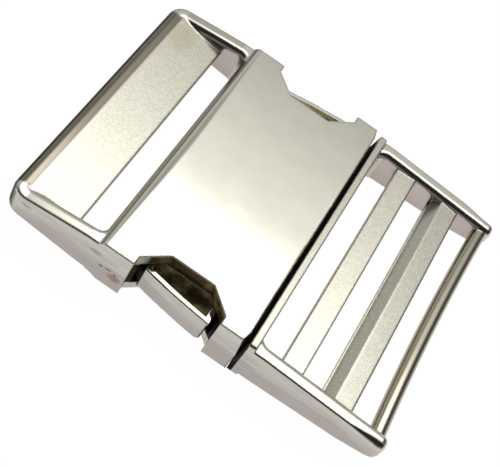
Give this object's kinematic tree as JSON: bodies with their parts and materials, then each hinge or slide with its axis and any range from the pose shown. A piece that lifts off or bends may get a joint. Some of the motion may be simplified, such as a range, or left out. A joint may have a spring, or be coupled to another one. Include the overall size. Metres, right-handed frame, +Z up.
{
  "type": "metal side release buckle",
  "caption": "Metal side release buckle, fastened: die-cast socket with a strap loop, and a plug with a slotted strap ladder, held by sprung side levers in finger windows.",
  "frame": {"origin": "the middle of the bounding box, on the surface that the buckle lies on", "axes": "+X along the strap from the socket's loop to the plug's end, +Y across the strap, +Z up through the sleeve's smooth roof"},
  "size_m": [0.075, 0.0586, 0.0103],
  "materials": {
    "plated_socket": "nickel-plated zinc die-casting, satin-polished top and cast sides",
    "plated_plug": "nickel-plated zinc die-casting, fine-grained bars and a polished end rod",
    "plated_lever": "nickel-plated zinc die-casting, dark in the pocket",
    "steel_pin": "plain drawn steel"
  },
  "bodies": {
    "buckle": {"socket_housing": "plated_socket", "plug_frame": "plated_plug", "near_pivot_pin": "steel_pin", "far_pivot_pin": "steel_pin"},
    "near_lever": {"near_latch_lever": "plated_lever"},
    "far_lever": {"far_latch_lever": "plated_lever"}
  },
  "joints": [
    {"name": "near_lever_press", "type": "hinge", "parent": "buckle", "child": "near_lever", "pos_m": [-0.01473, -0.0204, 0.00477], "axis": [0, 0, 1], "range_deg": [0, 8.5], "stiffness_Nm_per_rad": 0.5},
    {"name": "far_lever_press", "type": "hinge", "parent": "buckle", "child": "far_lever", "pos_m": [-0.01473, 0.0204, 0.00477], "axis": [0, 0, -1], "range_deg": [0, 8.5], "stiffness_Nm_per_rad": 0.5}
  ]
}
